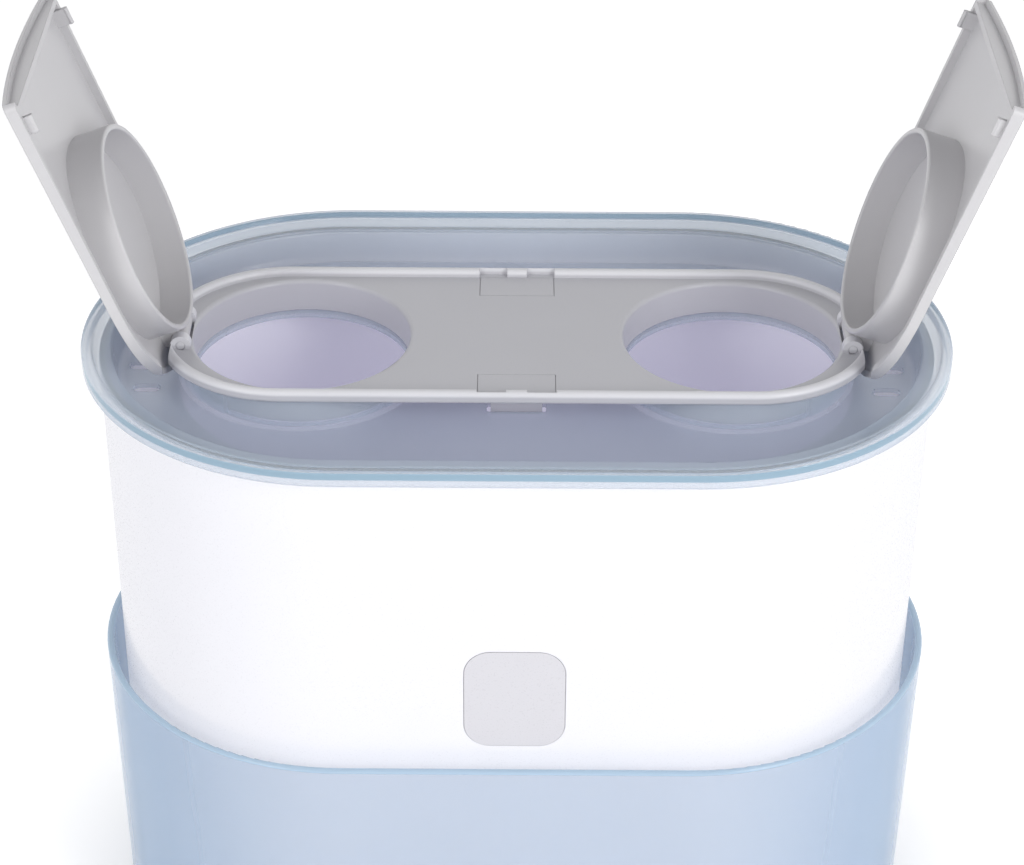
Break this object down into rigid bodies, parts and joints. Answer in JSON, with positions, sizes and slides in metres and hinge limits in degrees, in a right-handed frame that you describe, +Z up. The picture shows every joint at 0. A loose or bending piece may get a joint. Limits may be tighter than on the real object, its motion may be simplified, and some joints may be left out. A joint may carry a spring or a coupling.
{
  "type": "bottle warmer sterilizer",
  "caption": "Bottle warmer and sterilizer: white heated body standing in a translucent tub, with a steam tray, a grey lid frame and flip covers hinged at the ends.",
  "frame": {"origin": "on the floor under the centre of the object, at the underside of the outer tub", "axes": "+X along the length to the right, +Y from the front to the rear, +Z up"},
  "size_m": [0.3342, 0.184, 0.3553],
  "materials": {
    "tub_blue": "translucent, glossy",
    "tray_blue": "translucent, satin",
    "body_white": "satin white",
    "badge_grey": "glossy pale grey",
    "base_grey": "matt",
    "screw_steel": "plated",
    "foot_rubber": "matt",
    "standoff_plastic": "natural",
    "board_laminate": "green laminate",
    "board_parts": "black",
    "tank_plastic": "satin pale grey",
    "seal_silicone": "soft, pale",
    "plate_steel": "brushed stainless",
    "clip_steel": "plated sheet",
    "heater_aluminium": "extruded",
    "thermostat_body": "moulded phenolic",
    "fuse_sleeve": "fibre sleeve",
    "probe_metal": "turned",
    "lead_insulation": "silicone insulation",
    "inlet_black": "black",
    "pin_brass": "polished",
    "rocker_black": "black",
    "rack_plastic": "pale grey",
    "frame_grey": "satin grey",
    "catch_grey": "satin grey",
    "hinge_pin": "satin grey",
    "cover_grey": "satin grey"
  },
  "bodies": {
    "tub": {"outer_tub": "tub_blue"},
    "warmer": {"body_shell": "body_white", "badge_plate": "badge_grey", "base_cover": "base_grey", "base_screws": "screw_steel", "rubber_feet": "foot_rubber", "board_standoffs": "standoff_plastic", "control_board": "board_laminate", "board_parts": "board_parts", "board_screws": "screw_steel", "water_tank": "tank_plastic", "tank_seal": "seal_silicone", "heating_plate": "plate_steel", "plate_seal": "seal_silicone", "plate_clips": "clip_steel", "plate_screws": "screw_steel", "heater_block": "heater_aluminium", "heater_strap": "clip_steel", "thermostat": "thermostat_body", "thermal_fuse": "fuse_sleeve", "temperature_probe": "probe_metal", "mains_leads": "lead_insulation", "heater_leads": "lead_insulation", "power_inlet": "inlet_black", "inlet_pins": "pin_brass", "inlet_screws": "screw_steel", "switch_housing": "inlet_black"},
    "switch": {"switch_rocker": "rocker_black"},
    "rack": {"bottle_rack": "rack_plastic"},
    "tray": {"steam_tray": "tray_blue", "tray_seal": "seal_silicone"},
    "lid": {"lid_frame": "frame_grey", "catch_plates": "catch_grey", "hinge_pin_left": "hinge_pin", "hinge_pin_right": "hinge_pin"},
    "left_cover": {"flip_cover_left": "cover_grey"},
    "right_cover": {"flip_cover_right": "cover_grey"}
  },
  "joints": [
    {"name": "body_lift", "type": "slide", "parent": "tub", "child": "warmer", "axis": [0, 0, 1], "range_m": [0, 0.13]},
    {"name": "tray_lift", "type": "slide", "parent": "warmer", "child": "tray", "axis": [0, 0, 1], "range_m": [0, 0.03]},
    {"name": "lid_lift", "type": "slide", "parent": "tray", "child": "lid", "axis": [0, 0, 1], "range_m": [0, 0.03]},
    {"name": "rack_lift", "type": "slide", "parent": "warmer", "child": "rack", "axis": [0, 0, 1], "range_m": [0, 0.15]},
    {"name": "left_cover_hinge", "type": "hinge", "parent": "lid", "child": "left_cover", "pos_m": [-0.1174, 0, 0.2458], "axis": [0, 1, 0], "range_deg": [0, 110.8]},
    {"name": "right_cover_hinge", "type": "hinge", "parent": "lid", "child": "right_cover", "pos_m": [0.1174, 0, 0.2458], "axis": [0, -1, 0], "range_deg": [-1.4, 109.4]},
    {"name": "switch_rock", "type": "hinge", "parent": "warmer", "child": "switch", "pos_m": [0.02, 0.07757, 0.138], "axis": [1, 0, 0], "range_deg": [0, 16]}
  ]
}
